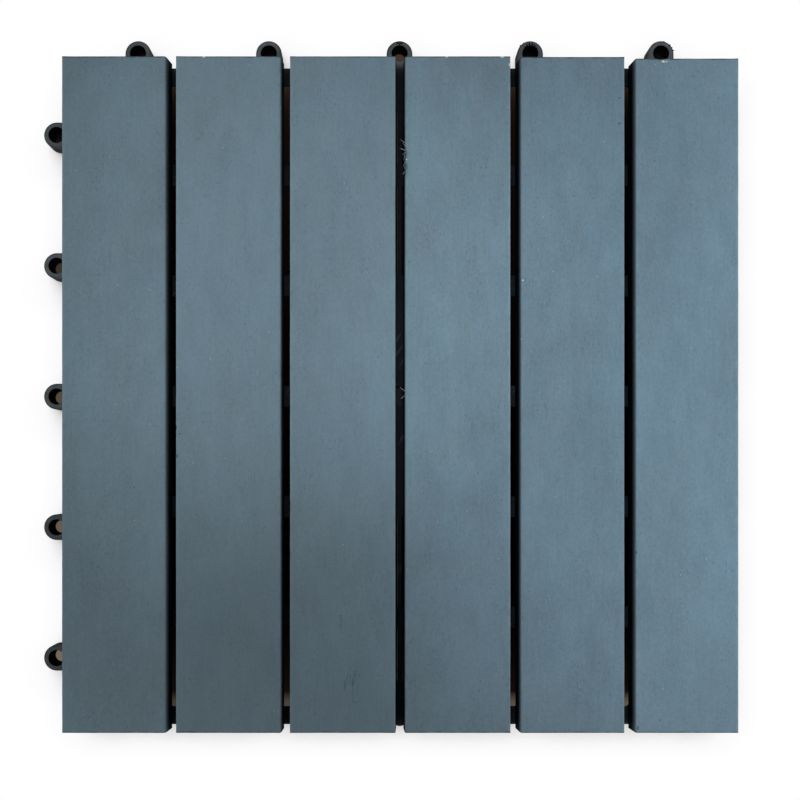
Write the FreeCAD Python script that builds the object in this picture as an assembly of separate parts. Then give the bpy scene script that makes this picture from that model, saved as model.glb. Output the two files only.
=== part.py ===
import FreeCAD, Part
import os

os.makedirs("parts", exist_ok=True)

V = FreeCAD.Vector
UP = V(0, 0, 1)

# The tile lies on its feet at z = 0, with its middle at x = y = 0.
# The slats run along Y. Sockets stand on the -X and +Y sides, pegs on the +X and -Y sides.

# deck
tile_side = 300.0
slat_count = 6
slat_gap = 3.1
slat_thickness = 13.5
slat_edge_round = 1.4
slat_end_ease = 0.3
short_cuts = {5: 0.3, 6: 1.0}

# base moulding
base_height = 13.0
base_inset = 1.5
base_corner_radius = 3.0
plate_thickness = 1.6
rim_width = 8.0
bar_count = 5
bar_width = 9.5
rail_width = 9.5
drain_width = 9.0
drain_corner_cut = 2.6
rib_thickness = 1.8
skirt_thickness = 2.0
floor_clearance = 1.5

# middle spine, seen between the third and fourth slats
spine_rib_width = 1.9
spine_end_length = 19.5
centre_boss_radius = 7.0
centre_recess_radius = 4.4
centre_recess_floor = 2.0

# screw bosses below the outermost cross bars, which are also feet, and plain feet below the others
boss_radius = 6.0
recess_radius = 4.3
boss_floor_thickness = 4.5
foot_width = 8.0
foot_overlap = 1.5

# pan head screws
shank_radius = 1.75
head_radius = 3.5
head_height = 2.3
head_ease = 0.8
screw_length = 13.0
tip_length = 2.2
shank_clearance = 0.15
pilot_clearance = 0.05
pilot_spare = 0.3

# sockets and pegs
link_count = 5
link_end_margin = 31.2
tile_joint_gap = 1.5
socket_reach = 7.3
socket_radius = 5.85
socket_bore_radius = 3.6
lip_radius = 2.85
lip_thickness = 2.0
socket_top_gap = 0.2
socket_edge_cut = 0.8
peg_clearance = 0.3
peg_root_margin = 0.4
peg_shoulder_gap = 1.2
peg_tip_clearance = 0.95
peg_floor_gap = 0.6
pocket_clearance = 0.4

# derived
half = tile_side / 2
slat_width = (tile_side - (slat_count - 1) * slat_gap) / slat_count
slat_pitch = slat_width + slat_gap
base_half = half - base_inset
plate_bottom = base_height - plate_thickness
rib_bottom = floor_clearance
window_limit = base_half - rim_width
bar_pitch = tile_side / (bar_count + 1)
link_pitch = (tile_side - 2 * link_end_margin) / (link_count - 1)
socket_top = plate_bottom - socket_top_gap
link_line = base_half + socket_reach
peg_line = tile_side + tile_joint_gap - link_line
recess_depth = base_height - boss_floor_thickness
rail_spread = slat_pitch - drain_width - rail_width
peg_radius = socket_bore_radius - peg_clearance


def box(x0, x1, y0, y1, z0, z1):
    return Part.makeBox(x1 - x0, y1 - y0, z1 - z0, V(x0, y0, z0))


def cylinder(radius, x, y, z0, z1):
    return Part.makeCylinder(radius, z1 - z0, V(x, y, z0), UP)


def upright_edges(block):
    return [e for e in block.Edges if abs(e.Vertexes[0].Z - e.Vertexes[1].Z) > 1e-6]


def rounded_square(side, z0, z1):
    block = box(-side / 2, side / 2, -side / 2, side / 2, z0, z1)
    return block.makeFillet(base_corner_radius, upright_edges(block))


def revolved(profile, x, y):
    # profile holds (radius, z) corners, turned about the upright axis through x, y
    corners = [V(x + r, y, z) for r, z in profile]
    outline = Part.makePolygon(corners + [corners[0]])
    return Part.Face(outline).revolve(V(x, y, 0), UP, 360)


def spaced(count, pitch):
    return [(i - (count - 1) / 2) * pitch for i in range(count)]


def slat_centres():
    return spaced(slat_count, slat_pitch)


def bar_lines():
    return spaced(bar_count, bar_pitch)


def screw_rows():
    return bar_lines()[0], bar_lines()[-1]


def rail_lines():
    lines = []
    for centre in slat_centres():
        lines.append(centre - rail_spread / 2)
        lines.append(centre + rail_spread / 2)
    return lines


def link_lines():
    return spaced(link_count, link_pitch)


def window_rows():
    # the stretches of Y between the rims and the cross bars
    edges = [-window_limit]
    for y in bar_lines():
        edges.append(y - bar_width / 2)
        edges.append(y + bar_width / 2)
    edges.append(window_limit)
    return list(zip(edges[0::2], edges[1::2]))


# base moulding: top plate

def slat_windows():
    # hidden windows under each slat, between its two rails
    reach = rail_spread / 2 - rail_width / 2
    return [box(c - reach, c + reach, y0, y1, plate_bottom, base_height)
            for c in slat_centres() for y0, y1 in window_rows()]


def gap_windows():
    # drain windows with cut corners below the open gaps, apart from the middle gap
    gaps = [x for x in spaced(slat_count - 1, slat_pitch) if abs(x) > slat_pitch / 2]
    windows = []
    for x in gaps:
        for y0, y1 in window_rows():
            window = box(x - drain_width / 2, x + drain_width / 2, y0, y1, plate_bottom, base_height)
            windows.append(window.makeChamfer(drain_corner_cut, upright_edges(window)))
    return windows


def spine_windows():
    # narrow windows each side of the spine's rib, closed near the middle and near the rims
    windows = []
    for y0, y1 in window_rows():
        if abs(y0 + y1) < bar_pitch * 1.5:
            continue
        y0 = max(y0, spine_end_length - base_half)
        y1 = min(y1, base_half - spine_end_length)
        for side in (-1, 1):
            x0, x1 = sorted((side * spine_rib_width / 2, side * drain_width / 2))
            windows.append(box(x0, x1, y0, y1, plate_bottom, base_height))
    return windows


def top_plate():
    plate = rounded_square(2 * base_half, plate_bottom, base_height)
    return plate.cut(Part.Compound(slat_windows() + gap_windows() + spine_windows()))


# base moulding: ribs and skirt below the plate

def skirt():
    outer = rounded_square(2 * base_half, rib_bottom, plate_bottom)
    inside = base_half - skirt_thickness
    return outer.cut(box(-inside, inside, -inside, inside, rib_bottom, plate_bottom))


def ribs():
    reach = base_half - skirt_thickness / 2
    t = rib_thickness / 2
    parts = [box(-reach, reach, y - t, y + t, rib_bottom, plate_bottom) for y in bar_lines()]
    parts += [box(x - t, x + t, -reach, reach, rib_bottom, plate_bottom) for x in rail_lines()]
    spine = spine_rib_width / 2
    parts.append(box(-spine, spine, -reach, reach, rib_bottom, plate_bottom))
    return parts


def bosses():
    return [cylinder(boss_radius, x, y, 0, plate_bottom)
            for x in slat_centres() for y in screw_rows()]


def plain_feet():
    # square pads that stand out below the ribs of the other cross bars
    w = foot_width / 2
    return [box(x - w, x + w, y - w, y + w, 0, rib_bottom + foot_overlap)
            for x in slat_centres() for y in bar_lines()[1:-1]]


def boss_holes():
    holes = []
    for x in slat_centres():
        for y in screw_rows():
            holes.append(cylinder(recess_radius, x, y, 0, recess_depth))
            holes.append(cylinder(shank_radius + shank_clearance, x, y, recess_depth, base_height))
    return holes


# base moulding: sockets and pegs

def socket_block():
    # socket at the origin, its neck running towards -Y as far as the base
    neck = socket_reach + skirt_thickness / 2
    block = cylinder(socket_radius, 0, 0, 0, socket_top).fuse(
        box(-socket_radius, socket_radius, -neck, 0, 0, socket_top)).removeSplitter()
    rim = [e for e in block.Edges
           if min(v.Z for v in e.Vertexes) > socket_top - 1e-6 and e.BoundBox.YMax > 1e-6 - neck]
    return block.makeChamfer(socket_edge_cut, rim)


def socket_hole():
    bore = cylinder(socket_bore_radius, 0, 0, lip_thickness, socket_top)
    return bore.fuse(cylinder(lip_radius, 0, 0, 0, lip_thickness))


def peg():
    # tapered below its shoulder, to pass the socket's lip
    shoulder = lip_thickness + peg_shoulder_gap
    return revolved([(0, peg_floor_gap),
                     (lip_radius - peg_tip_clearance, peg_floor_gap),
                     (peg_radius, shoulder),
                     (peg_radius, plate_bottom),
                     (0, plate_bottom)], 0, 0)


def peg_root():
    # the plate reaches out a little further than the peg that hangs below it
    return cylinder(peg_radius + peg_root_margin, 0, 0, plate_bottom, base_height)


def peg_pocket():
    # room under the plate for the neighbour's socket, open towards -Y
    radius = socket_radius + pocket_clearance
    open_length = socket_reach + pocket_clearance
    return cylinder(radius, 0, 0, 0, plate_bottom).fuse(
        box(-radius, radius, -open_length, 0, 0, plate_bottom))


def placed(shape, turn, x, y):
    copy = shape.copy()
    copy.rotate(V(0, 0, 0), UP, turn)
    copy.translate(V(x, y, 0))
    return copy


def on_socket_sides(shape):
    return ([placed(shape, 0, s, link_line) for s in link_lines()]
            + [placed(shape, 90, -link_line, s) for s in link_lines()])


def on_peg_sides(shape):
    return ([placed(shape, 0, s, -peg_line) for s in link_lines()]
            + [placed(shape, 90, peg_line, s) for s in link_lines()])


def base_grid():
    centre_boss = cylinder(centre_boss_radius, 0, 0, 0, plate_bottom)
    below = skirt().multiFuse(ribs() + bosses() + plain_feet() + [centre_boss])
    below = below.cut(Part.Compound(on_peg_sides(peg_pocket())))
    grid = below.multiFuse([top_plate()] + on_peg_sides(peg_root()) + on_socket_sides(socket_block()))
    holes = boss_holes() + on_socket_sides(socket_hole())
    holes.append(cylinder(centre_recess_radius, 0, 0, centre_recess_floor, base_height))
    grid = grid.cut(Part.Compound(holes))
    grid = grid.multiFuse(on_peg_sides(peg()))
    return grid.removeSplitter()


# slats

def slat(number, centre):
    y1 = half - short_cuts.get(number, 0)
    x0 = centre - slat_width / 2
    board = box(x0, x0 + slat_width, -half, y1, base_height, base_height + slat_thickness)
    long_edges = [e for e in board.Edges if abs(e.Length - (y1 + half)) < 1e-6]
    board = board.makeFillet(slat_edge_round, long_edges)
    top = base_height + slat_thickness
    end_edges = [e for e in board.Edges
                 if abs(e.BoundBox.YLength) < 1e-6 and abs(e.CenterOfMass.z - top) < 1e-6]
    board = board.makeChamfer(slat_end_ease, end_edges)
    pilot_top = recess_depth + screw_length + pilot_spare
    pilots = [cylinder(shank_radius + pilot_clearance, centre, y, base_height, pilot_top)
              for y in screw_rows()]
    return board.cut(Part.Compound(pilots))


# screws

def screw(x, y):
    seat = recess_depth
    tip = seat + screw_length
    return revolved([(0, seat - head_height),
                     (head_radius - head_ease, seat - head_height),
                     (head_radius, seat - head_height + head_ease),
                     (head_radius, seat),
                     (shank_radius, seat),
                     (shank_radius, tip - tip_length),
                     (0, tip)], x, y)


def save(name, shape):
    solids = shape.Solids
    good = shape.isValid() and all(s.isValid() and s.isClosed() for s in solids)
    box_ = shape.BoundBox
    print(name, "solids", len(solids), "valid", good, "volume", round(shape.Volume, 1),
          "z", round(box_.ZMin, 3), round(box_.ZMax, 3))
    shape.exportStep("parts/" + name + ".step")


base = base_grid()
save("base_grid", base.Solids[0] if len(base.Solids) == 1 else base)
for number, centre in enumerate(slat_centres(), start=1):
    board = slat(number, centre)
    save("slat_%d" % number, board.Solids[0])
save("slat_screws", Part.Compound([screw(x, y) for x in slat_centres() for y in screw_rows()]))
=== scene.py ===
import math

import bmesh
import bpy
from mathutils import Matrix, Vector


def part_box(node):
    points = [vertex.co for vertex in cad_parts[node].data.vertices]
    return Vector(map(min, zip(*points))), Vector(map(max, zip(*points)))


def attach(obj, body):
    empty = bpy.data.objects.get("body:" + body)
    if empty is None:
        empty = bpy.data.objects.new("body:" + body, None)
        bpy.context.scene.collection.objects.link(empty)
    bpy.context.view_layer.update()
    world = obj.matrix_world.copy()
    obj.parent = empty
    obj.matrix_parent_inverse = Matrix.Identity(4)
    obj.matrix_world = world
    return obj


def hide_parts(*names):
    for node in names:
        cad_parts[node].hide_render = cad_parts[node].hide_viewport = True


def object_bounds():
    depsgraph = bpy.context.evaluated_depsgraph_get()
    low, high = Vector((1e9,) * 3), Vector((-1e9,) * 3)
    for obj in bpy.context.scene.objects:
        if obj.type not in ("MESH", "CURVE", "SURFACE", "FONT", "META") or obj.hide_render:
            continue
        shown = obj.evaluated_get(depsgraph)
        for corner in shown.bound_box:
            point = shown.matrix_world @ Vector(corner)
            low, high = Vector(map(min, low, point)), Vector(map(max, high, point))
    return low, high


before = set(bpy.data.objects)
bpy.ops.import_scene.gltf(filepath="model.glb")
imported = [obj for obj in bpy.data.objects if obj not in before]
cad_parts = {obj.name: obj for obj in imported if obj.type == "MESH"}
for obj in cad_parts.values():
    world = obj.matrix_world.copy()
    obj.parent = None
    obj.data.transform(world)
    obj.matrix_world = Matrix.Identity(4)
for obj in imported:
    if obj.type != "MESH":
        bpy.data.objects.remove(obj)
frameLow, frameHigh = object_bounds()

# Interlocking deck tile: six stained wooden slats on a moulded grid base.
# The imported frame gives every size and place, and this script gives the finish.

mm = 0.001
touching = 0.01 * mm
apart = 0.1 * mm
slatCount = 6
print("frame loaded with", len(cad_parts), "nodes")


# picking and finishing pieces

def deselectAll():
    bpy.ops.object.select_all(action="DESELECT")


def activate(piece):
    deselectAll()
    piece.select_set(True)
    bpy.context.view_layer.objects.active = piece


def applyModifiers(piece):
    activate(piece)
    for modifier in list(piece.modifiers):
        bpy.ops.object.modifier_apply(modifier=modifier.name)


def settle(piece):
    # the place of a finished piece is in its mesh, and its object sits at the origin
    activate(piece)
    bpy.ops.object.transform_apply(location=True, rotation=True, scale=True)


def copyPiece(name, source):
    piece = bpy.data.objects.new(name, source.data.copy())
    bpy.context.scene.collection.objects.link(piece)
    return piece


def joinTo(piece, others):
    activate(piece)
    for other in others:
        other.select_set(True)
    bpy.ops.object.join()


def cutAway(piece, cutter):
    cut = piece.modifiers.new("cut", "BOOLEAN")
    cut.object = cutter
    cut.solver = "EXACT"
    applyModifiers(piece)
    bpy.data.objects.remove(cutter)


def startEdit(piece, mode):
    activate(piece)
    bpy.ops.object.mode_set(mode="EDIT")
    bpy.ops.mesh.select_mode(type=mode)
    bpy.ops.mesh.select_all(action="DESELECT")


def endEdit():
    bpy.ops.object.mode_set(mode="OBJECT")


def pickParts(piece, kind, test):
    bpy.ops.mesh.select_all(action="DESELECT")
    mesh = bmesh.from_edit_mesh(piece.data)
    for part in getattr(mesh, kind):
        if test(part):
            part.select_set(True)
    bmesh.update_edit_mesh(piece.data)


def pickEdges(piece, test):
    pickParts(piece, "edges", lambda edge: test(edge.verts[0].co, edge.verts[1].co))


def pickFaces(piece, test):
    pickParts(piece, "faces", lambda face: test(face.calc_center_median(), face.normal))


def smoothByAngle(piece, degrees):
    activate(piece)
    bpy.ops.object.shade_smooth_by_angle(angle=math.radians(degrees))


def groupVertices(piece, name, weightAt):
    group = piece.vertex_groups.new(name=name)
    for vertex in piece.data.vertices:
        weight = weightAt(vertex.co)
        if weight > 0:
            group.add([vertex.index], weight, "REPLACE")


def displaceGroup(piece, name, strength, texture=None, direction="NORMAL"):
    modifier = piece.modifiers.new(name, "DISPLACE")
    modifier.texture = texture
    modifier.texture_coords = "GLOBAL"
    modifier.direction = direction
    modifier.vertex_group = name
    modifier.mid_level = 0.0
    modifier.strength = strength


def applyDisplaced(piece):
    applyModifiers(piece)
    piece.vertex_groups.clear()


def cloudTexture(name, size, depth):
    texture = bpy.data.textures.new(name, "CLOUDS")
    texture.noise_scale = size
    texture.noise_depth = depth
    return texture


def finishPiece(piece, slot, material, *nodes):
    piece.data.materials.clear()
    piece.data.materials.append(material)
    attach(piece, "root")
    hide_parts(*nodes)


# node helpers

def feed(tree, node, inputs):
    for socket, value in inputs.items():
        if isinstance(value, bpy.types.NodeSocket):
            tree.links.new(value, node.inputs[socket])
        else:
            node.inputs[socket].default_value = value


def addNode(tree, kind, inputs=None, **settings):
    node = tree.nodes.new(kind)
    for name, value in settings.items():
        setattr(node, name, value)
    feed(tree, node, inputs or {})
    return node


def calc(tree, operation, *values, clamp=False):
    return addNode(tree, "ShaderNodeMath", dict(enumerate(values)),
                   operation=operation, use_clamp=clamp).outputs[0]


def times(tree, a, b):
    return calc(tree, "MULTIPLY", a, b)


def vectorCalc(tree, operation, *values):
    node = addNode(tree, "ShaderNodeVectorMath", dict(enumerate(values)), operation=operation)
    return node.outputs["Value" if operation == "LENGTH" else "Vector"]


def scaleColour(tree, colour, amount):
    return addNode(tree, "ShaderNodeVectorMath", {0: colour, "Scale": amount},
                   operation="SCALE").outputs[0]


def split(tree, vector):
    return addNode(tree, "ShaderNodeSeparateXYZ", {0: vector}).outputs


def surfaceNormal(tree):
    return split(tree, tree.nodes.new("ShaderNodeNewGeometry").outputs["Normal"])


def remap(tree, value, low, high, newLow=0.0, newHigh=1.0):
    return addNode(tree, "ShaderNodeMapRange", {"Value": value, "From Min": low, "From Max": high,
                                                "To Min": newLow, "To Max": newHigh}).outputs[0]


def blendColour(tree, factor, a, b):
    return addNode(tree, "ShaderNodeMix", {0: factor, 6: a, 7: b}, data_type="RGBA").outputs[2]


def moveVector(tree, vector, location=(0, 0, 0), rotation=(0, 0, 0), scale=(1, 1, 1)):
    return addNode(tree, "ShaderNodeMapping", {"Vector": vector, "Location": location,
                                               "Rotation": rotation, "Scale": scale}).outputs[0]


def cloud(tree, vector, scale, stretch=(1, 1, 1), detail=2.0, rough=0.5):
    spread = moveVector(tree, vector, scale=stretch)
    return addNode(tree, "ShaderNodeTexNoise", {"Vector": spread, "Scale": scale, "Detail": detail,
                                                "Roughness": rough}).outputs["Fac"]


def newGroup(name, vectors, numbers, outputs):
    group = bpy.data.node_groups.new(name, "ShaderNodeTree")
    for label in vectors:
        group.interface.new_socket(label, in_out="INPUT", socket_type="NodeSocketVector")
    for label, value in numbers.items():
        socket = group.interface.new_socket(label, in_out="INPUT", socket_type="NodeSocketFloat")
        socket.default_value = value
    for label in outputs:
        group.interface.new_socket(label, in_out="OUTPUT", socket_type="NodeSocketFloat")
    return group, group.nodes.new("NodeGroupInput").outputs, group.nodes.new("NodeGroupOutput")


def useGroup(tree, group, inputs):
    return addNode(tree, "ShaderNodeGroup", inputs, node_tree=group).outputs


def newMaterial(name):
    material = bpy.data.materials.new(name)
    material.use_nodes = True
    tree = material.node_tree
    shader = tree.nodes["Principled BSDF"]
    place = tree.nodes.new("ShaderNodeTexCoord").outputs["Object"]
    return material, tree, shader, place


def addBump(tree, shader, height, strength, distance):
    bump = addNode(tree, "ShaderNodeBump", {"Height": height, "Strength": strength,
                                            "Distance": distance})
    tree.links.new(bump.outputs["Normal"], shader.inputs["Normal"])


# shared effects: wood figure, slat edges, chips, end grain, ring bores, surface grit

# clouds are given as scale, stretch, detail and roughness, and ranges as where a mask starts and is full
figureClouds = {
    "mottle": (26, (1, 0.5, 1), 3, 0.55),
    "blotch": (110, (1, 0.45, 1), 3, 0.6),
    "fibre": (800, (1, 0.08, 1), 4, 0.65),
    "dots": (1300, (1, 0.6, 1), 2, 0.5),
    "streaks": (1700, (1, 0.3, 1), 0, 0.5),
    "clusters": (140, (1, 0.5, 1), 2, 0.5),
}
figureMix = {
    "toneShares": {"mottle": 0.3, "blotch": 0.24, "fibre": 0.14, "dots": 0.26},
    "tintCloud": (75, (1, 0.55, 1), 3, 0.6),
    "tintPlace": (0.3, 0.1, 0),
    "tintShare": 0.6,
    "tintRange": (0.4, 0.6),
    "streakRange": (0.66, 0.74),
    "clusterRange": (0.45, 0.62),
    "speckScale": 150.0,
    "speckRange": (0.042, 0.018),
    "speckChoice": (0.52, 0.54),
    "dotRelief": 0.6,
}


def makeWoodFigure():
    tree, given, out = newGroup("woodFigure", ["Vector"], {},
                                ["Tone", "Tint", "Pores", "Specks", "Relief"])
    vector, mix = given["Vector"], figureMix
    clouds = {name: cloud(tree, vector, *look) for name, look in figureClouds.items()}
    tone = 1 - sum(mix["toneShares"].values()) / 2
    for name, share in mix["toneShares"].items():
        tone = calc(tree, "MULTIPLY_ADD", clouds[name], share, tone)
    tint = cloud(tree, moveVector(tree, vector, location=mix["tintPlace"]), *mix["tintCloud"])
    tint = calc(tree, "ADD", times(tree, tint, mix["tintShare"]),
                times(tree, clouds["mottle"], 1 - mix["tintShare"]))
    streaks = remap(tree, clouds["streaks"], *mix["streakRange"])
    clusters = remap(tree, clouds["clusters"], *mix["clusterRange"])
    pores = times(tree, streaks, clusters)
    cells = addNode(tree, "ShaderNodeTexVoronoi", {"Vector": vector, "Scale": mix["speckScale"]})
    near = remap(tree, cells.outputs["Distance"], *mix["speckRange"])
    cellParts = addNode(tree, "ShaderNodeSeparateColor", {"Color": cells.outputs["Color"]})
    chosen = remap(tree, cellParts.outputs[0], *mix["speckChoice"])
    relief = calc(tree, "ADD", clouds["fibre"], times(tree, clouds["dots"], mix["dotRelief"]))
    feed(tree, out, {
        "Tone": tone,
        "Tint": remap(tree, tint, *mix["tintRange"]),
        "Pores": pores,
        "Specks": times(tree, near, chosen),
        "Relief": calc(tree, "SUBTRACT", relief, pores),
    })
    return tree


# masks on a slat, by the distance from its faces in mm
edgeRanges = {
    "ends": (0.65, 0.3),
    "sides": (1.1, 0.4),
    "nearTop": (1.4, 0.4),
    "below": (0.5, 0.1),
    "beyond": (-0.02, -0.1),
    "onSide": (2.3, 2.0),
    "inGap": (149.3, 148.8),
}
edgeWaver = {"scale": 260, "detail": 3, "range": (0.3, 0.7), "reach": 0.5 * mm, "endShare": 0.5}


def makeSlatEdges():
    # masks near a slat's sawn ends and long edges, on its lower side, past its sides and deep in a gap,
    # the last for painted shade on the sides in the gaps
    tree, given, out = newGroup(
        "slatEdges", ["Vector", "Low", "High"],
        {"Left Inset": 0.0, "Right Inset": 0.0, "Shallow": 0.001, "Deepest": 0.006},
        ["Ends", "Sides", "Below", "Beyond", "Deep"])

    def within(distance, name):
        start, full = edgeRanges[name]
        return remap(tree, distance, start * mm, full * mm)

    low = split(tree, vectorCalc(tree, "SUBTRACT", given["Vector"], given["Low"]))
    high = split(tree, vectorCalc(tree, "SUBTRACT", given["High"], given["Vector"]))
    uneven = cloud(tree, given["Vector"], edgeWaver["scale"], detail=edgeWaver["detail"])
    waver = remap(tree, uneven, *edgeWaver["range"], -edgeWaver["reach"], edgeWaver["reach"])
    fromEnd = calc(tree, "ADD", calc(tree, "MINIMUM", low[1], high[1]),
                   times(tree, waver, edgeWaver["endShare"]))
    fromLeft = calc(tree, "SUBTRACT", low[0], given["Left Inset"])
    fromRight = calc(tree, "SUBTRACT", high[0], given["Right Inset"])
    fromSide = calc(tree, "ADD", calc(tree, "MINIMUM", fromLeft, fromRight), waver)
    inward = calc(tree, "MINIMUM", low[0], high[0])
    aside = calc(tree, "ABSOLUTE", split(tree, given["Vector"])[0])
    sunk = remap(tree, high[2], given["Shallow"], given["Deepest"])
    feed(tree, out, {
        "Ends": within(fromEnd, "ends"),
        "Sides": times(tree, within(fromSide, "sides"), within(high[2], "nearTop")),
        "Below": within(low[2], "below"),
        "Beyond": within(inward, "beyond"),
        "Deep": times(tree, times(tree, within(inward, "onSide"), within(aside, "inGap")), sunk),
    })
    return tree


chipOutline = {"scale": 1400, "range": (1.05, 0.8), "ragged": 0.8}


def makeChipMask():
    tree, given, out = newGroup("chipMask", ["Vector", "Centre", "Reach"],
                                {"Ragged": chipOutline["ragged"]}, ["Mask"])
    away = vectorCalc(tree, "SUBTRACT", given["Vector"], given["Centre"])
    length = vectorCalc(tree, "LENGTH", vectorCalc(tree, "DIVIDE", away, given["Reach"]))
    ragged = calc(tree, "SUBTRACT", cloud(tree, given["Vector"], chipOutline["scale"]), 0.5)
    uneven = calc(tree, "ADD", length, times(tree, ragged, given["Ragged"]))
    feed(tree, out, {"Mask": remap(tree, uneven, *chipOutline["range"])})
    return tree


growthRings = {"Scale": 98.0, "Distortion": 1.6, "Detail": 2.0, "Detail Scale": 0.6}
endFacing = (0.7, 0.9)


def makeEndGrain():
    # growth rings on a slat's sawn ends, round a heart of its own
    tree, given, out = newGroup("endGrain", ["Vector", "Heart"], {}, ["Rings"])
    away = vectorCalc(tree, "SUBTRACT", given["Vector"], given["Heart"])
    rings = addNode(tree, "ShaderNodeTexWave", {"Vector": away, **growthRings},
                    wave_type="RINGS", rings_direction="Y", wave_profile="SAW")
    onEnd = remap(tree, calc(tree, "ABSOLUTE", surfaceNormal(tree)[1]), *endFacing)
    feed(tree, out, {"Rings": times(tree, rings.outputs["Fac"], onEnd)})
    return tree


# the five upper ring sockets stand in a line along X, and the five on the left in one along Y
ringPlace = {
    "pitch": 59.4 * mm,
    "line": 155.8 * mm,
    "top": 11.2 * mm,
    "middle": 3,
    "outer": 5.5 * mm,
    "boreRange": (3.75 * mm, 3.65 * mm),
    "cutRange": (5.6 * mm, 5.4 * mm),
    "cutDepth": (0.25 * mm, 0.4 * mm),
}


def makeRingBores():
    # a mask inside the ring sockets' holes, and where a knock has cut into a ring's top; the base paints
    # it near-black as painted shade
    tree, given, out = newGroup("ringBores", ["Vector"], {}, ["Inside"])
    x, y, z = split(tree, given["Vector"])
    half = ringPlace["pitch"] / 2
    reaches = []
    for along, across, line in ((x, y, ringPlace["line"]), (y, x, -ringPlace["line"])):
        local = calc(tree, "WRAP", along, half, -half)
        flat = addNode(tree, "ShaderNodeCombineXYZ", {0: local, 1: calc(tree, "SUBTRACT", across, line)})
        reaches.append(vectorCalc(tree, "LENGTH", flat.outputs[0]))
    reach = calc(tree, "MINIMUM", *reaches)
    bore = remap(tree, reach, *ringPlace["boreRange"])
    cutFrom, cutFull = (ringPlace["top"] - depth for depth in ringPlace["cutDepth"])
    cut = times(tree, remap(tree, reach, *ringPlace["cutRange"]), remap(tree, z, cutFrom, cutFull))
    feed(tree, out, {"Inside": calc(tree, "MAXIMUM", bore, cut)})
    return tree


gritLook = {
    "grainSize": 1500.0,
    "patches": (45, (1, 1, 1), 3),
    "scratches": (420, (1, 0.06, 1), 1),
    "scratchTurn": (0.2, 0.1, 0.6),
    "scratchRange": (0.66, 0.72),
    "scuffedAreas": (60, (1, 1, 1), 1),
    "scuffedRange": (0.5, 0.65),
    "facingUp": (0.6, 0.95),
    "powder": (520, (1, 1, 1), 4, 0.7),
    "powderRange": (0.42, 0.7),
}


def makeSurfaceGrit():
    # fine moulded grain, soft patches, scuffs, and dust on what faces up
    tree, given, out = newGroup("surfaceGrit", ["Vector"], {"Grain Size": gritLook["grainSize"]},
                                ["Grain", "Patches", "Scuffs", "Dust"])
    vector = given["Vector"]
    grain = addNode(tree, "ShaderNodeTexNoise", {"Vector": vector, "Scale": given["Grain Size"],
                                                 "Detail": 2.0})
    turned = moveVector(tree, vector, rotation=gritLook["scratchTurn"])
    scratches = remap(tree, cloud(tree, turned, *gritLook["scratches"]), *gritLook["scratchRange"])
    areas = remap(tree, cloud(tree, vector, *gritLook["scuffedAreas"]), *gritLook["scuffedRange"])
    settled = remap(tree, surfaceNormal(tree)[2], *gritLook["facingUp"])
    powder = remap(tree, cloud(tree, vector, *gritLook["powder"]), *gritLook["powderRange"])
    feed(tree, out, {
        "Grain": grain.outputs["Fac"],
        "Patches": cloud(tree, vector, *gritLook["patches"]),
        "Scuffs": times(tree, scratches, areas),
        "Dust": times(tree, settled, powder),
    })
    return tree


woodFigure = makeWoodFigure()
slatEdges = makeSlatEdges()
chipMask = makeChipMask()
endGrain = makeEndGrain()
ringBores = makeRingBores()
surfaceGrit = makeSurfaceGrit()
print("shader groups made")


def markMask(tree, place, centre, reach, ragged):
    return useGroup(tree, chipMask, {"Vector": place, "Centre": centre, "Reach": reach,
                                     "Ragged": ragged})["Mask"]


# stained wood, one finish for each slat

woodStain = {
    "warm": (0.1502, 0.2270, 0.2775, 1),
    "cool": (0.1443, 0.2292, 0.2865, 1),
    "pore": (0.055, 0.085, 0.108, 1),
    "speck": (0.62, 0.66, 0.68, 1),
    "worn": (0.235, 0.315, 0.36, 1),
    "endLine": (0.030, 0.040, 0.046, 1),
    "bare": (0.30, 0.19, 0.105, 1),
    "splinter": (0.66, 0.64, 0.58, 1),
    # painted shade: near-black on the slat sides deep in the gaps
    "gapShade": (0.002, 0.004, 0.006, 1),
    "reliefStrength": 0.35,
    "reliefDepth": 0.06 * mm,
    "specular": 0.12,
    "roughness": (0.74, 0.62),
    "roughRelief": (0.3, 1.2),
    "toneFade": 60 * mm,
    "thinCloud": (90, (1, 0.2, 1), 3),
    "thinRange": (0.42, 0.6, 0.35, 0.9),
    "markDepth": 1.5 * mm,
    "smearRagged": 1.3,
    "smearCloud": (1500, (1, 0.1, 1), 2),
    "smearRange": (0.5, 0.66, 0, 0.55),
}
# how strongly each layer covers the stain
woodCover = {"pore": 0.28, "speck": 0.6, "end": 0.8, "beyond": 0.6, "rings": 0.32, "deep": 0.985}
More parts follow.
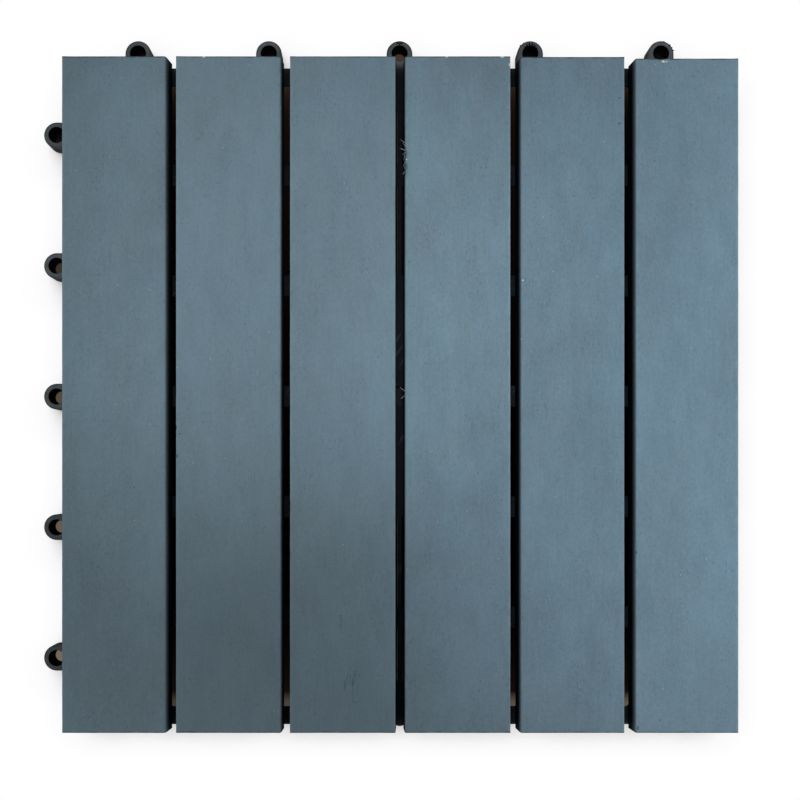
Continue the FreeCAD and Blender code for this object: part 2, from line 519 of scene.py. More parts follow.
# per slat: shift, slant and contrast of its figure, the heart of its growth rings as (x, z), tone of
# its upper and lower half, wear and painted highlight of the long edges, where the painted shade on its
# sides starts and is full below the top, and light chips, painted shade of small dents and dark streaky
# smears as (x, y, half x, half y). Places and sizes are in mm
slatFinish = {
    1: {"shift": (0.11, 0.42, 0.05), "slant": 0.012, "contrast": 1.15, "heart": (6, -14),
        "tone": (0.94, 1.08), "wearAndHighlight": 0.25, "sunk": (0.2, 7.0)},
    2: {"shift": (0.47, 0.13, 0.21), "slant": -0.008, "contrast": 0.9, "heart": (-30, -22),
        "tone": (1.0, 1.0), "wearAndHighlight": 0.35, "sunk": (0.3, 7.5),
        "chips": [(-87.0, 149.8, 0.7, 0.5)],
        "dentShades": [(-97.7, -17.4, 0.6, 0.22), (-98.8, -27.2, 0.3, 1.1), (-99.3, -14.5, 0.35, 1.4)]},
    3: {"shift": (0.83, 0.71, 0.37), "slant": 0.02, "contrast": 1.0, "heart": (14, 58),
        "tone": (1.0, 0.97), "wearAndHighlight": 0.3, "sunk": (0.6, 5.6),
        "smears": [(-22.0, -128.0, 3.4, 7.5), (-25.5, -101.0, 1.6, 4.5)]},
    4: {"shift": (0.29, 0.95, 0.53), "slant": -0.015, "contrast": 1.28, "heart": (-9, -30),
        "tone": (0.985, 0.99), "wearAndHighlight": 0.6, "sunk": (0.2, 5.0),
        "chips": [(2.8, 104.4, 0.36, 0.36), (45.2, 149.7, 1.0, 0.4), (20.6, 149.7, 0.6, 0.4),
                  (48.3, 146.2, 0.3, 0.8)]},
    5: {"shift": (0.61, 0.27, 0.69), "slant": 0.01, "contrast": 1.3, "heart": (38, -6),
        "tone": (0.97, 0.985), "wearAndHighlight": 0.3, "sunk": (0.5, 5.8),
        "chips": [(54.4, 50.7, 0.35, 0.4), (53.8, 24.6, 0.22, 0.25), (99.6, 51.0, 0.3, 1.7)],
        "dentShades": [(97.0, 131.4, 0.9, 0.2), (97.2, 120.2, 1.1, 0.22), (77.0, 88.0, 0.2, 0.5)]},
    6: {"shift": (0.97, 0.59, 0.85), "slant": -0.02, "contrast": 1.2, "heart": (-4, -10),
        "tone": (1.01, 1.025), "wearAndHighlight": 0.5, "sunk": (1.6, 6.6),
        "chips": [(116.6, 147.6, 0.75, 0.55), (118.1, 147.5, 0.3, 0.4)],
        "dentShades": [(105.4, -147.6, 0.3, 1.0), (115.0, -144.2, 0.25, 0.5), (104.7, -70.0, 0.25, 0.6)]},
}


def stainedWood(number):
    finish = slatFinish[number]
    low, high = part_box("slat_%d" % number)
    material, tree, shader, place = newMaterial("stainedWood%d" % number)
    figured = moveVector(tree, place, finish["shift"], (0, 0, finish["slant"]))
    figure = useGroup(tree, woodFigure, {"Vector": figured})
    left, right = slatShape["sideInset"][number]
    shallow, deepest = finish["sunk"]
    edges = useGroup(tree, slatEdges, {
        "Vector": place, "Low": low, "High": high, "Left Inset": left * mm,
        "Right Inset": right * mm, "Shallow": shallow * mm, "Deepest": deepest * mm})
    heart = ((low.x + high.x) / 2 + finish["heart"][0] * mm, 0, finish["heart"][1] * mm)
    rings = useGroup(tree, endGrain, {"Vector": place, "Heart": heart})["Rings"]

    contrast, fade = finish["contrast"], woodStain["toneFade"]
    uneven = calc(tree, "MULTIPLY_ADD", figure["Tone"], contrast, 1.0 - contrast)
    tone = times(tree, uneven, remap(tree, split(tree, place)[1], fade, -fade, *finish["tone"]))
    colour = blendColour(tree, figure["Tint"], woodStain["warm"], woodStain["cool"])
    colour = scaleColour(tree, colour, tone)
    thinStain = remap(tree, cloud(tree, figured, *woodStain["thinCloud"]), *woodStain["thinRange"])
    # the Deep mask paints the slat sides near-black in the gaps, as painted shade
    for mask, amount, stain in (
            (figure["Pores"], woodCover["pore"], "pore"),
            (figure["Specks"], woodCover["speck"], "speck"),
            # the long top edges lighten, partly worn stain and partly painted highlight
            (edges["Sides"], finish["wearAndHighlight"], "worn"),
            (edges["Ends"], woodCover["end"], "endLine"),
            (edges["Beyond"], woodCover["beyond"], "splinter"),
            (rings, woodCover["rings"], "worn"),
            (edges["Deep"], woodCover["deep"], "gapShade"),
            (edges["Below"], thinStain, "bare")):
        colour = blendColour(tree, times(tree, mask, amount), colour, woodStain[stain])

    def marked(mark, ragged):
        x, y, reachX, reachY = (size * mm for size in mark)
        return markMask(tree, place, (x, y, high.z), (reachX, reachY, woodStain["markDepth"]), ragged)

    # dent shades are painted shade of small dents, in the pore colour; chips show light bare wood
    for kind, stain in (("chips", "splinter"), ("dentShades", "pore")):
        for mark in finish.get(kind, []):
            colour = blendColour(tree, marked(mark, chipOutline["ragged"]), colour, woodStain[stain])
    for smear in finish.get("smears", []):
        streaks = remap(tree, cloud(tree, place, *woodStain["smearCloud"]), *woodStain["smearRange"])
        mask = times(tree, marked(smear, woodStain["smearRagged"]), streaks)
        colour = blendColour(tree, mask, colour, woodStain["pore"])
    roughness = remap(tree, figure["Relief"], *woodStain["roughRelief"], *woodStain["roughness"])
    feed(tree, shader, {"Base Color": colour, "Roughness": roughness,
                        "Specular IOR Level": woodStain["specular"]})
    addBump(tree, shader, figure["Relief"], woodStain["reliefStrength"], woodStain["reliefDepth"])
    return material


# slats: planed boards with rounded long edges, a slight waver, sawn ends and small damage

# for the left and right side of each slat in mm: its rounding, how far inside the CAD board it starts,
# and how far it leans out at the bottom. The cuts are counted along each axis
slatShape = {
    "edgeRound": {1: (0.5, 1.4), 2: (0.5, 1.4), 3: (0.5, 0.6),
                  4: (1.4, 0.5), 5: (1.3, 0.5), 6: (1.2, 0.5)},
    "sideInset": {1: (0, 1.35), 2: (0, 0.8), 3: (0, 0.5), 4: (0.5, 0), 5: (1.3, 0), 6: (1.8, 0)},
    "sideSlope": {1: (0, 1.35), 2: (0, 0.8), 3: (0, 0.5), 4: (0.5, 0), 5: (1.3, 0), 6: (1.2, 0)},
    "slopeReach": 6 * mm,
    "roundSegments": 4,
    "endEase": 0.3 * mm,
    "endSegments": 2,
    "cuts": {1: 299, 0: 11, 2: 4},
    "waverSize": 24 * mm,
    "waverDepth": 0.12 * mm,
    "waverReach": 3 * mm,
    "waverLeast": 0.12,
    "nickSize": 2.6 * mm,
    "nickDepth": 0.12 * mm,
    "nickReach": 1.6 * mm,
    "chipSize": 0.9 * mm,
    "chipCuts": 4,
    "chipSpread": 1.3,
    "pilotRadius": 1.8 * mm,
    "pilotTop": 21.8 * mm,
    "screwLine": 100 * mm,
    "smooth": 40,
}
# damage: slat, place on its edge in mm, reach and depth in mm
slatDamage = [
    {"slat": 4, "at": (1.8, 107.0), "reach": 3.5, "depth": 1.1},
    {"slat": 4, "at": (1.8, 100.5), "reach": 4.0, "depth": 0.9},
    {"slat": 6, "at": (115.5, 148.8), "reach": 2.2, "depth": 0.9},
    {"slat": 3, "at": (-48.6, -48.0), "reach": 1.6, "depth": 0.5},
    {"slat": 6, "at": (103.2, -148.6), "reach": 2.0, "depth": 0.8},
]
# splinters: slat, foot in mm, length in mm, lean from the edge in degrees
slatSplinters = [
    {"slat": 4, "foot": (2.3, 111.4, 26.1), "length": 3.4, "lean": 128},
    {"slat": 4, "foot": (2.2, 110.2, 26.1), "length": 2.2, "lean": 150},
    {"slat": 4, "foot": (1.9, 108.4, 26.1), "length": 2.6, "lean": 112},
    {"slat": 4, "foot": (2.1, 107.2, 26.0), "length": 1.9, "lean": 50},
    {"slat": 4, "foot": (2.0, 105.8, 26.1), "length": 2.4, "lean": 15},
    {"slat": 4, "foot": (2.2, 103.0, 26.0), "length": 2.2, "lean": 24},
    {"slat": 4, "foot": (2.0, 100.6, 26.0), "length": 2.0, "lean": 160},
    {"slat": 4, "foot": (1.9, 98.8, 25.9), "length": 1.8, "lean": 34},
    {"slat": 4, "foot": (1.8, -0.5, 25.4), "length": 2.4, "lean": 48},
    {"slat": 4, "foot": (1.8, 1.8, 25.2), "length": 3.0, "lean": 130},
]
splinterShape = {"thick": 0.13 * mm, "thin": 0.03 * mm, "rise": 0.12, "forward": 0.3}
waverTexture = cloudTexture("waver", slatShape["waverSize"], 1)
nickTexture = cloudTexture("nicks", slatShape["nickSize"], 2)
chipTexture = cloudTexture("chips", slatShape["chipSize"], 2)


def shapeBoard(slat, number, low, high):
    startEdit(slat, "EDGE")
    for axis, cuts in slatShape["cuts"].items():
        pickEdges(slat, lambda a, b: abs(a[axis] - b[axis]) > apart)
        bpy.ops.mesh.subdivide(number_cuts=cuts)

    for side, reach in zip((low.x, high.x), slatShape["edgeRound"][number]):
        def onCorner(point):
            upDown = min(point.z - low.z, high.z - point.z)
            return abs(point.x - side) < touching and upDown < touching

        pickEdges(slat, lambda a, b: onCorner(a) and onCorner(b) and abs(a.y - b.y) > apart)
        bpy.ops.mesh.bevel(offset=reach * mm, segments=slatShape["roundSegments"], affect="EDGES")

    def onTopEnd(point):
        atEnd = min(point.y - low.y, high.y - point.y) < touching
        return atEnd and point.z > high.z - touching

    pickEdges(slat, lambda a, b: onTopEnd(a) and onTopEnd(b))
    bpy.ops.mesh.bevel(offset=slatShape["endEase"], segments=slatShape["endSegments"], affect="EDGES")
    endEdit()


def drillPilots(slat, middle, low):
    for side in (-1, 1):
        deselectAll()
        bpy.ops.mesh.primitive_cylinder_add(
            vertices=24, radius=slatShape["pilotRadius"], depth=2 * (slatShape["pilotTop"] - low.z),
            location=(middle, side * slatShape["screwLine"], low.z))
        cutAway(slat, bpy.context.object)


def waverBoard(slat, low, high):
    def nearLongEdge(co):
        across = min(co.x - low.x, high.x - co.x)
        return max(slatShape["waverLeast"], 1 - across / slatShape["waverReach"])

    def onTopEdge(co):
        across = min(co.x - low.x, high.x - co.x)
        along = min(co.y - low.y, high.y - co.y)
        down = high.z - co.z
        return 1.0 if min(across, along) + down < slatShape["nickReach"] else 0.0

    groupVertices(slat, "waver", nearLongEdge)
    groupVertices(slat, "nicks", onTopEdge)
    displaceGroup(slat, "waver", -slatShape["waverDepth"], waverTexture)
    displaceGroup(slat, "nicks", -slatShape["nickDepth"], nickTexture)
    applyDisplaced(slat)


def slopeSides(slat, number, low, high):
    # some sides lean out towards the bottom
    for side, outward, slope in zip((low.x, high.x), (-mm, mm), slatShape["sideSlope"][number]):
        if slope == 0:
            continue

        def leaning(co):
            near = max(0.0, 1 - abs(co.x - side) / slatShape["slopeReach"])
            return near * (high.z - co.z) / (high.z - low.z)

        groupVertices(slat, "slope", leaning)
        displaceGroup(slat, "slope", slope * outward, direction="X")
        applyDisplaced(slat)


def damageBoard(slat, number):
    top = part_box("slat_%d" % number)[1].z
    for spot in slatDamage:
        if spot["slat"] != number:
            continue
        centre = Vector((spot["at"][0] * mm, spot["at"][1] * mm, top))
        reach = spot["reach"] * mm
        spread = reach * slatShape["chipSpread"]
        startEdit(slat, "FACE")
        pickFaces(slat, lambda middle, normal: (middle - centre).length < spread)
        bpy.ops.mesh.subdivide(number_cuts=slatShape["chipCuts"])
        endEdit()
        groupVertices(slat, "chip", lambda co: max(0.0, 1 - ((co - centre).length / reach) ** 2))
        displaceGroup(slat, "chip", -spot["depth"] * mm, chipTexture)
        applyDisplaced(slat)


def addSplinters(slat, number):
    slivers = []
    for splinter in slatSplinters:
        if splinter["slat"] != number:
            continue
        length = splinter["length"] * mm
        lean = math.radians(splinter["lean"])
        foot = Vector(splinter["foot"]) * mm
        direction = Vector((-math.sin(lean), -math.cos(lean), splinterShape["rise"]))
        deselectAll()
        bpy.ops.mesh.primitive_cone_add(
            vertices=5, radius1=splinterShape["thick"], radius2=splinterShape["thin"], depth=length,
            location=foot + direction * length * splinterShape["forward"],
            rotation=direction.to_track_quat("Z", "Y").to_euler())
        slivers.append(bpy.context.object)
        settle(slivers[-1])
    if slivers:
        joinTo(slat, slivers)


def makeSlat(number):
    node = "slat_%d" % number
    low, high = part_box(node)
    middle = (low.x + high.x) / 2
    left, right = slatShape["sideInset"][number]
    low.x += left * mm
    high.x -= right * mm
    deselectAll()
    bpy.ops.mesh.primitive_cube_add(size=1, location=(low + high) / 2)
    slat = bpy.context.object
    slat.name = "stainedSlat%d" % number
    slat.scale = high - low
    settle(slat)
    shapeBoard(slat, number, low, high)
    drillPilots(slat, middle, low)
    waverBoard(slat, low, high)
    slopeSides(slat, number, low, high)
    damageBoard(slat, number)
    addSplinters(slat, number)
    smoothByAngle(slat, slatShape["smooth"])
    finishPiece(slat, "stained_wood", stainedWood(number), node)


for number in range(1, slatCount + 1):
    makeSlat(number)
print("slats made")


# base: the moulding, its sharp edges eased and its rings a little knocked

basePlastic = {
    # painted shade: near-black colours, far darker than black plastic, for the shade in the gaps
    "gapShadeBlack": (0.0035, 0.0050, 0.0062, 1),
    "gapShadeGrey": (0.0065, 0.0092, 0.0115, 1),
    "weathered": (0.110, 0.132, 0.146, 1),
    "flank": (0.165, 0.160, 0.148, 1),
    # painted shade for the ring holes, knock cuts and notches
    "bore": (0.002, 0.002, 0.002, 1),
    "underside": (0.036, 0.039, 0.041, 1),
    "scuff": (0.04, 0.046, 0.05, 1),
    "dust": (0.06, 0.065, 0.07, 1),
    "dustAmount": 0.12,
    "grainStrength": 0.25,
    "grainDepth": 0.05 * mm,
    "scuffAmount": 0.6,
    "specular": 0.06,
    "satin": (0.62, 0.76),
    "dustRough": 0.2,
    "patchRange": (0.35, 0.65),
    "grainRange": (0.3, 0.7),
    "outsideRange": (142 * mm, 151.5 * mm),
    "outsidePower": 4.0,
    "wornCloud": (380, (1, 1, 1), 3),
    "wornRange": (0.3, 0.7, 0.72, 1.0),
    "steepRange": (0.6, 0.2),
    "lowerRange": (9.5 * mm, 7.5 * mm, 0, 0.3),
    "belowRange": (-0.2, -0.6),
    "belowGrain": (0.8, 1.0),
    "markDepth": 1.2 * mm,
}
baseShape = {
    "weld": 0.001 * mm,
    "flat": 0.5,
    "edgeEase": 0.18 * mm,
    "easeSegments": 2,
    "easeAngle": 35,
    "smooth": 35,
    "knockTaper": 0.6,
    "burrTaper": 0.4,
    "burrRoot": 0.6 * mm,
    "burrDrop": 0.8 * mm,
}
# knocks on the upper rings: ring, angle, distance from its centre, radius and depth in mm
ringKnocks = [
    {"ring": 3, "angle": 90, "out": 4.0, "radius": 0.4, "depth": 2.5},
    {"ring": 4, "angle": 60, "out": 3.9, "radius": 0.55, "depth": 2.6},
    {"ring": 4, "angle": 78, "out": 4.15, "radius": 0.6, "depth": 2.8},
    {"ring": 4, "angle": 95, "out": 4.2, "radius": 0.6, "depth": 2.8},
    {"ring": 4, "angle": 112, "out": 3.95, "radius": 0.55, "depth": 2.4},
    {"ring": 4, "angle": 130, "out": 3.8, "radius": 0.45, "depth": 2.0},
    {"ring": 4, "angle": 40, "out": 3.75, "radius": 0.5, "depth": 2.0},
]
# painted shade of small notches on the upper rings' tops: ring, angle, distance out, half width and
# height in mm
ringNotchShades = [
    {"ring": 3, "angle": 90, "out": 5.0, "wide": 2.1, "high": 0.9, "ragged": 0.5, "dark": 0.7},
    {"ring": 3, "angle": 78, "out": 4.5, "wide": 0.5, "high": 0.35, "ragged": 0.4, "dark": 0.9},
    {"ring": 3, "angle": 100, "out": 4.5, "wide": 0.5, "high": 0.35, "ragged": 0.4, "dark": 0.9},
    {"ring": 4, "angle": 60, "out": 4.0, "wide": 0.4, "high": 0.6, "ragged": 0.5, "dark": 0.95},
    {"ring": 4, "angle": 78, "out": 4.2, "wide": 0.35, "high": 0.75, "ragged": 0.5, "dark": 0.95},
    {"ring": 4, "angle": 95, "out": 4.2, "wide": 0.35, "high": 0.8, "ragged": 0.5, "dark": 0.95},
    {"ring": 4, "angle": 112, "out": 4.0, "wide": 0.4, "high": 0.6, "ragged": 0.5, "dark": 0.95},
    {"ring": 4, "angle": 130, "out": 3.8, "wide": 0.4, "high": 0.5, "ragged": 0.5, "dark": 0.95},
    {"ring": 5, "angle": 85, "out": 5.3, "wide": 1.0, "high": 0.3, "ragged": 0.6, "dark": 0.85},
    {"ring": 5, "angle": 45, "out": 5.4, "wide": 0.6, "high": 0.6, "ragged": 0.6, "dark": 0.85},
    {"ring": 5, "angle": 20, "out": 5.5, "wide": 0.4, "high": 0.6, "ragged": 0.5, "dark": 0.9},
]
# burrs of flash left on the upper rings: ring, angle, length and thickness in mm
ringBurrs = [
    {"ring": 4, "angle": 140, "length": 0.35, "thick": 0.7},
    {"ring": 4, "angle": 122, "length": 0.2, "thick": 0.5},
    {"ring": 5, "angle": 76, "length": 0.2, "thick": 0.6},
    {"ring": 5, "angle": 44, "length": 0.3, "thick": 0.55},
    {"ring": 5, "angle": 30, "length": 0.25, "thick": 0.5},
    {"ring": 5, "angle": 16, "length": 0.45, "thick": 0.5},
]


def onUpperRing(detail, out):
    angle = math.radians(detail["angle"])
    middle = (detail["ring"] - ringPlace["middle"]) * ringPlace["pitch"]
    return middle + math.cos(angle) * out, ringPlace["line"] + math.sin(angle) * out


def mouldedPlastic():
    material, tree, shader, place = newMaterial("mouldedPlastic")
    look = basePlastic
    grit = useGroup(tree, surfaceGrit, {"Vector": place})
    x, y, z = split(tree, place)
    up = surfaceNormal(tree)[2]
    patches = remap(tree, grit["Patches"], *look["patchRange"])
    # painted shade: the whole moulding starts near-black for the shade between and below the slats
    colour = blendColour(tree, patches, look["gapShadeBlack"], look["gapShadeGrey"])

    # weathered beyond the slats, on the upper and the left side, lightened further as painted sheen;
    # steep faces there are painted lighter and warmer than the tops, as painted light
    beyond = calc(tree, "MAXIMUM", times(tree, x, -1.0), calc(tree, "ABSOLUTE", y))
    outside = calc(tree, "POWER", remap(tree, beyond, *look["outsideRange"]), look["outsidePower"])
    worn = remap(tree, cloud(tree, place, *look["wornCloud"]), *look["wornRange"])
    weatheredAndLit = blendColour(tree, remap(tree, up, *look["steepRange"]), look["weathered"], look["flank"])
    colour = blendColour(tree, times(tree, outside, worn), colour, weatheredAndLit)

    # the underside and low walls keep a plain black plastic colour
    under = calc(tree, "MAXIMUM", remap(tree, up, *look["belowRange"]),
                 remap(tree, z, *look["lowerRange"]))
    grain = remap(tree, grit["Grain"], *look["grainRange"], *look["belowGrain"])
    colour = blendColour(tree, times(tree, under, grain), colour, look["underside"])
    # painted shade of small notches on the ring tops, in the hole shade colour
    for mark in ringNotchShades:
        centre = (*onUpperRing(mark, mark["out"] * mm), ringPlace["top"])
        reach = (mark["wide"] * mm, mark["high"] * mm, look["markDepth"])
        notchShade = times(tree, markMask(tree, place, centre, reach, mark["ragged"]), mark["dark"])
        colour = blendColour(tree, notchShade, colour, look["bore"])
    for mask, amount, shade in ((grit["Scuffs"], look["scuffAmount"], "scuff"),
                                (grit["Dust"], look["dustAmount"], "dust")):
        colour = blendColour(tree, times(tree, mask, amount), colour, look[shade])
    # painted shade inside the ring holes and knock cuts
    bores = useGroup(tree, ringBores, {"Vector": place})
    colour = blendColour(tree, bores["Inside"], colour, look["bore"])
    satin = remap(tree, grit["Patches"], *look["grainRange"], *look["satin"])
    roughness = calc(tree, "ADD", satin, times(tree, grit["Dust"], look["dustRough"]), clamp=True)
    feed(tree, shader, {"Base Color": colour, "Roughness": roughness,
                        "Specular IOR Level": look["specular"]})
    addBump(tree, shader, grit["Grain"], look["grainStrength"], look["grainDepth"])
    return material


def easeEdges(base):
    startEdit(base, "EDGE")
    bpy.ops.mesh.select_all(action="SELECT")
    bpy.ops.mesh.remove_doubles(threshold=baseShape["weld"])
    bpy.ops.mesh.dissolve_limited(angle_limit=math.radians(baseShape["flat"]))
    endEdit()
    ease = base.modifiers.new("ease", "BEVEL")
    ease.width = baseShape["edgeEase"]
    ease.segments = baseShape["easeSegments"]
    ease.limit_method = "ANGLE"
    ease.angle_limit = math.radians(baseShape["easeAngle"])
    ease.use_clamp_overlap = False
    applyModifiers(base)


def knockRings(base):
    for knock in ringKnocks:
        radius = knock["radius"] * mm
        deselectAll()
        bpy.ops.mesh.primitive_cone_add(
            vertices=5, radius1=baseShape["knockTaper"] * radius, radius2=radius,
            depth=2 * knock["depth"] * mm, rotation=(0, 0, math.radians(knock["angle"])),
            location=(*onUpperRing(knock, knock["out"] * mm), ringPlace["top"]))
        cutAway(base, bpy.context.object)


def addBurrs(base):
    burrs = []
    for burr in ringBurrs:
        length = burr["length"] * mm
        thick = burr["thick"] * mm
        deselectAll()
        bpy.ops.mesh.primitive_cone_add(
            vertices=6, radius1=thick, radius2=baseShape["burrTaper"] * thick,
            depth=length + baseShape["burrRoot"], rotation=(0, math.pi / 2, math.radians(burr["angle"])),
            location=(*onUpperRing(burr, ringPlace["outer"] + length / 2),
                      ringPlace["top"] - baseShape["burrDrop"]))
        burrs.append(bpy.context.object)
        settle(burrs[-1])
    joinTo(base, burrs)


def makeBase():
    deselectAll()
    base = copyPiece("mouldedBase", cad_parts["base_grid"])
    easeEdges(base)
    knockRings(base)
    addBurrs(base)
    smoothByAngle(base, baseShape["smooth"])
    finishPiece(base, "base_plastic", mouldedPlastic(), "base_grid")


makeBase()
print("base made")


# screws: pan heads with a cross recess and a coarse thread

screwShape = {
    "headRadius": 3.5 * mm,
    "headHeight": 2.3 * mm,
    "headEase": 0.8 * mm,
    "seat": 8.5 * mm,
    "coreRadius": 1.25 * mm,
    "threadRadius": 1.72 * mm,
    "threadPitch": 1.4 * mm,
    "threadTurns": 8,
    "length": 13 * mm,
    "tipLength": 2.2 * mm,
    "recessReach": 1.9 * mm,
    "recessWidth": 0.9 * mm,
    "recessDepth": 1.5 * mm,
    "threadStart": 0.9 * mm,
    "threadRise": 0.42 * mm,
    "threadSunk": 0.1 * mm,
    "threadSteps": 20,
    "tipFlat": 0.02 * mm,
    "tipShare": 0.06,
    "smooth": 35,
    "turn": 37,
}
screwSteel = {
    "bright": (0.62, 0.61, 0.58, 1),
    "dull": (0.40, 0.39, 0.36, 1),
    "grainSize": 2600.0,
    "patchRange": (0.4, 0.6),
    "scuffAmount": 0.5,
    "grainRange": (0.3, 0.7),
    "roughness": (0.28, 0.46),
    "grainStrength": 0.2,
    "grainDepth": 0.02 * mm,
}


def platedSteel():
    material, tree, shader, place = newMaterial("platedSteel")
    look = screwSteel
    grit = useGroup(tree, surfaceGrit, {"Vector": place, "Grain Size": look["grainSize"]})
    patches = remap(tree, grit["Patches"], *look["patchRange"])
    colour = blendColour(tree, patches, look["bright"], look["dull"])
    colour = blendColour(tree, times(tree, grit["Scuffs"], look["scuffAmount"]), colour, look["dull"])
    roughness = remap(tree, grit["Grain"], *look["grainRange"], *look["roughness"])
    feed(tree, shader, {"Base Color": colour, "Roughness": roughness, "Metallic": 1.0})
    addBump(tree, shader, grit["Grain"], look["grainStrength"], look["grainDepth"])
    return material


def modelHead():
    # the head faces down, with its recess from below
    shape = screwShape
    under = shape["seat"] - shape["headHeight"]
    deselectAll()
    bpy.ops.mesh.primitive_cylinder_add(
        vertices=32, radius=shape["headRadius"], depth=shape["headHeight"],
        location=(0, 0, shape["seat"] - shape["headHeight"] / 2))
    head = bpy.context.object
    settle(head)
    startEdit(head, "EDGE")
    pickEdges(head, lambda a, b: max(a.z, b.z) < under + touching)
    bpy.ops.mesh.bevel(offset=shape["headEase"], segments=4, affect="EDGES")
    endEdit()
    long, wide = 2 * shape["recessReach"], shape["recessWidth"]
    for sizeX, sizeY in ((long, wide), (wide, long)):
        deselectAll()
        bpy.ops.mesh.primitive_cube_add(size=1, location=(0, 0, under))
        cutter = bpy.context.object
        cutter.scale = (sizeX, sizeY, 2 * shape["recessDepth"])
        settle(cutter)
        cutAway(head, cutter)
    return head


def modelCore():
    shape = screwShape
    straight = shape["length"] - shape["tipLength"]
    deselectAll()
    bpy.ops.mesh.primitive_cylinder_add(vertices=20, radius=shape["coreRadius"], depth=straight,
                                        location=(0, 0, shape["seat"] + straight / 2))
    core = bpy.context.object
    settle(core)
    startEdit(core, "FACE")
    pickFaces(core, lambda co, normal: normal.z > 0.9)
    rise = shape["tipLength"] - shape["tipFlat"]
    bpy.ops.mesh.extrude_region_move(TRANSFORM_OT_translate={"value": (0, 0, rise)})
    bpy.ops.transform.resize(value=(shape["tipShare"], shape["tipShare"], 1))
    endEdit()
    return core


def modelThread():
    # a triangular ridge wound up the core
    shape = screwShape
    start = shape["seat"] + shape["threadStart"]
    root = shape["coreRadius"] - shape["threadSunk"]
    rise = shape["threadRise"]
    deselectAll()
    bpy.ops.mesh.primitive_circle_add(vertices=3, radius=rise, location=(0, 0, 0), fill_type="NOTHING")
    thread = bpy.context.object
    corners = [(root, 0, start - rise), (shape["threadRadius"], 0, start), (root, 0, start + rise)]
    for vertex, corner in zip(thread.data.vertices, corners):
        vertex.co = corner
    wind = thread.modifiers.new("wind", "SCREW")
    wind.axis = "Z"
    wind.screw_offset = shape["threadPitch"]
    wind.iterations = shape["threadTurns"] - 1
    wind.steps = wind.render_steps = shape["threadSteps"]
    applyModifiers(thread)
    startEdit(thread, "EDGE")
    bpy.ops.mesh.select_non_manifold()
    bpy.ops.mesh.fill()
    bpy.ops.mesh.select_all(action="SELECT")
    bpy.ops.mesh.normals_make_consistent(inside=False)
    endEdit()
    return thread


def placeScrews():
    steel = platedSteel()
    pattern = modelHead()
    joinTo(pattern, (modelCore(), modelThread()))
    smoothByAngle(pattern, screwShape["smooth"])
    made = 0
    for number in range(1, slatCount + 1):
        low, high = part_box("slat_%d" % number)
        for side in (-1, 1):
            made += 1
            screw = copyPiece("slatScrew%d" % made, pattern)
            screw.location = ((low.x + high.x) / 2, side * slatShape["screwLine"], 0)
            screw.rotation_euler = (0, 0, math.radians(screwShape["turn"] * made))
            settle(screw)
            finishPiece(screw, "screw_steel", steel, "slat_screws")
    bpy.data.objects.remove(pattern)


placeScrews()
print("screws made")


# stage: white floor with the tile's shadow, soft lamps, camera straight above

# fades are given as length in metres and strength, and ranges as start and end, then the values there
stageLook = {
    "floorSize": 8.0,
    "shadowReach": 0.019,
    "shadowLean": (-0.15, 0.38, 0.91),
    "shadowEdge": (0.2, 0.33),
    "shadowGreys": {0.33: (0.42, 0.41, 0.40, 1), 0.5: (0.70, 0.70, 0.70, 1),
                    0.75: (0.94, 0.94, 0.94, 1)},
    "tileHalf": 0.1482,
    "nearReach": 0.0115,
    "earth": (0.125, 0.080, 0.055, 1),
    "sand": (0.125, 0.098, 0.072, 1),
    # painted light on the floor below the tile and in the ring sockets, fading in from the tile's edges
    "topFade": (0.005, 0.35),
    "tailFade": (0.08, 0.06),
    "tailRange": (95 * mm, 75 * mm, 0.4, 1.0),
    "bottomFade": (0.018, 0.1),
    "sandRange": (12.5 * mm, 7.5 * mm, 0, 0.52),
    "sandAcross": (-110 * mm, 110 * mm, 0.7, 1.6),
    "topRings": (20 * mm, 45 * mm, 0.42, 0.03),
    "leftRings": (110 * mm, -120 * mm, 0.03, 1.4),
    "backBelowShade": (0.02, 0.017, 0.013, 1),
    "backAround": (0.3, 0.28, 0.26, 1),
}
# lamps with the centre and radius of their pools of light in mm
lampPools = {
    "right": {"centre": (235, 0), "radius": 292, "colour": (0.524, 0.582, 0.635), "softness": 0.04},
    "left": {"centre": (-58, 62), "radius": 164, "colour": (0.40, 0.41, 0.41), "softness": 0.04},
}
ambient = (0.489, 0.458, 0.444, 1)
lampHeight = 4.5
white = (1, 1, 1, 1)
cameraView = {"lens": 61.96, "sensor": 36, "shift": (0.0329, 0.09), "place": (-11.75, -34.3, 610)}


def seenRay(tree):
    path = tree.nodes.new("ShaderNodeLightPath").outputs
    return calc(tree, "MAXIMUM", path["Is Camera Ray"], path["Is Transmission Ray"])


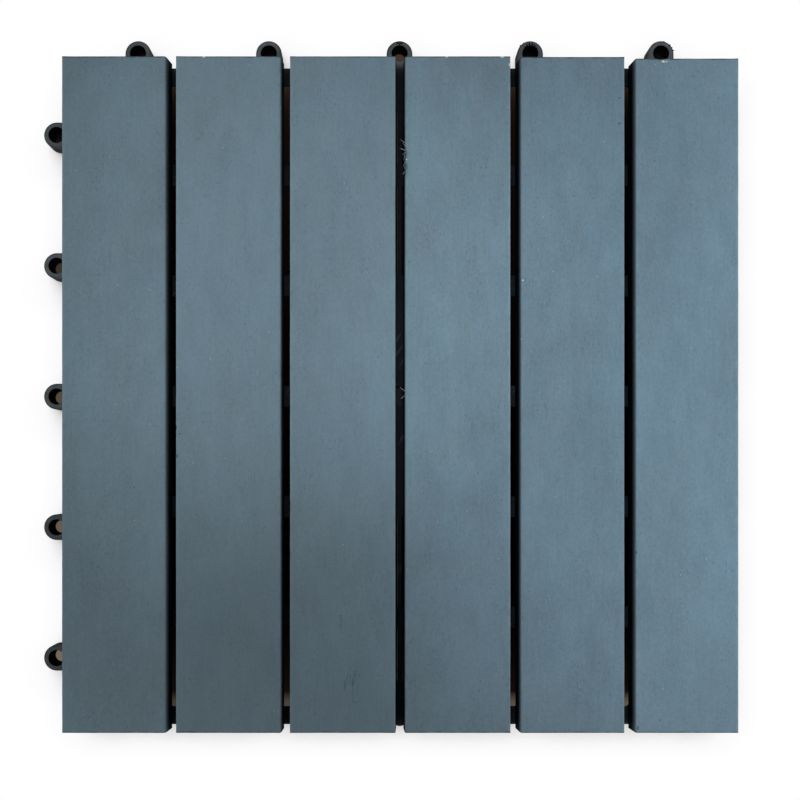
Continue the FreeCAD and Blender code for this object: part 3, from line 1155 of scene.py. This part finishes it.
def floorSeenBelow(tree, place):
    # the floor's colour below the tile and in the ring sockets, with painted light that fades in from
    # the tile's edges, and whether a point is outside the slats
    x, y = split(tree, place)[:2]
    half = stageLook["tileHalf"]
    aside, along = calc(tree, "ABSOLUTE", x), calc(tree, "ABSOLUTE", y)
    fromTop = calc(tree, "SUBTRACT", half, y)
    fromBottom = calc(tree, "ADD", half, y)

    def fading(distance, name):
        length, strength = stageLook[name]
        ahead = times(tree, calc(tree, "MAXIMUM", distance, 0.0), -1 / length)
        return times(tree, calc(tree, "EXPONENT", ahead), strength)

    def ranged(value, name):
        return remap(tree, value, *stageLook[name])

    # painted light: the floor below the tile brightens towards the tile's edges
    tail = times(tree, fading(fromTop, "tailFade"), ranged(aside, "tailRange"))
    dim = calc(tree, "ADD", calc(tree, "ADD", fading(fromTop, "topFade"), tail),
               fading(fromBottom, "bottomFade"))
    bright = times(tree, ranged(fromBottom, "sandRange"), ranged(x, "sandAcross"))
    earth, sand = stageLook["earth"][:3], stageLook["sand"][:3]
    below = vectorCalc(tree, "ADD", scaleColour(tree, earth, dim), scaleColour(tree, sand, bright))
    topRings = scaleColour(tree, earth, ranged(aside, "topRings"))
    leftRings = scaleColour(tree, sand, ranged(y, "leftRings"))
    rings = blendColour(tree, calc(tree, "GREATER_THAN", y, half), leftRings, topRings)
    outside = calc(tree, "GREATER_THAN", calc(tree, "MAXIMUM", aside, along), half)
    return below, rings, outside


def makeFloor():
    deselectAll()
    bpy.ops.mesh.primitive_plane_add(size=stageLook["floorSize"])
    floor = bpy.context.object
    floor.name = "floor"
    material, tree, shader, place = newMaterial("paleFloor")
    tree.nodes.remove(shader)
    lean = addNode(tree, "ShaderNodeCombineXYZ", dict(enumerate(stageLook["shadowLean"])))
    shade = addNode(tree, "ShaderNodeAmbientOcclusion", {"Distance": stageLook["shadowReach"],
                                                         "Normal": lean.outputs[0]}, samples=16)
    ramp = addNode(tree, "ShaderNodeValToRGB", {0: shade.outputs["AO"]})
    stops = ramp.color_ramp.elements
    stops[0].position, stops[0].color = 0.0, stageLook["sand"]
    stops[1].position, stops[1].color = 1.0, white
    stops.new(stageLook["shadowEdge"][0]).color = stageLook["sand"]
    for position, grey in stageLook["shadowGreys"].items():
        stops.new(position).color = grey
    below, rings, outside = floorSeenBelow(tree, place)
    around = blendColour(tree, remap(tree, shade.outputs["AO"], *stageLook["shadowEdge"]),
                         rings, ramp.outputs[0])
    shown = addNode(tree, "ShaderNodeEmission", {"Color": blendColour(tree, outside, below, around),
                                                 "Strength": 1.0})
    # below the tile, diffuse rays and near reflections pass the floor, so that the underside has light
    # for other rays the floor below the tile is near-black, as painted shade
    lightBack = blendColour(tree, outside, stageLook["backBelowShade"], stageLook["backAround"])
    plain = addNode(tree, "ShaderNodeBsdfDiffuse", {"Color": lightBack}).outputs[0]
    clear = tree.nodes.new("ShaderNodeBsdfTransparent").outputs[0]
    path = tree.nodes.new("ShaderNodeLightPath").outputs
    nearBy = calc(tree, "LESS_THAN", path["Ray Length"], stageLook["nearReach"])
    passing = calc(tree, "MAXIMUM", path["Is Diffuse Ray"], times(tree, path["Is Glossy Ray"], nearBy))
    opened = times(tree, passing, calc(tree, "SUBTRACT", 1.0, outside))
    behind = tree.nodes.new("ShaderNodeNewGeometry").outputs["Backfacing"]
    surface = plain
    for factor, other in ((opened, clear), (seenRay(tree), shown.outputs[0]), (behind, clear)):
        surface = addNode(tree, "ShaderNodeMixShader", {0: factor, 1: surface, 2: other}).outputs[0]
    tree.links.new(surface, tree.nodes["Material Output"].inputs["Surface"])
    floor.data.materials.append(material)


def makeWorld():
    world = bpy.data.worlds.new("studio")
    bpy.context.scene.world = world
    world.use_nodes = True
    tree = world.node_tree
    colour = blendColour(tree, seenRay(tree), ambient, white)
    feed(tree, tree.nodes["Background"], {"Color": colour, "Strength": 1.0})


def makeLamps():
    for name, pool in lampPools.items():
        data = bpy.data.lights.new(name + "Lamp", "SPOT")
        strength = max(pool["colour"])
        data.color = [part / strength for part in pool["colour"]]
        data.energy = strength * 4 * math.pi ** 2 * lampHeight ** 2
        data.spot_size = 2 * math.atan(pool["radius"] * mm / lampHeight)
        data.spot_blend = 1.0
        data.shadow_soft_size = pool["softness"]
        lamp = bpy.data.objects.new(name + "Lamp", data)
        x, y = pool["centre"]
        lamp.location = (x * mm, y * mm, frameHigh.z + lampHeight)
        bpy.context.scene.collection.objects.link(lamp)


def makeCamera():
    data = bpy.data.cameras.new("camera")
    data.lens = cameraView["lens"]
    data.sensor_width = cameraView["sensor"]
    data.shift_x, data.shift_y = cameraView["shift"]
    camera = bpy.data.objects.new("camera", data)
    x, y, above = cameraView["place"]
    camera.location = (x * mm, y * mm, frameHigh.z + above * mm)
    bpy.context.scene.collection.objects.link(camera)
    bpy.context.scene.camera = camera


makeFloor()
makeWorld()
makeLamps()
makeCamera()
bpy.context.scene.view_settings.view_transform = "Standard"
print("stage set")
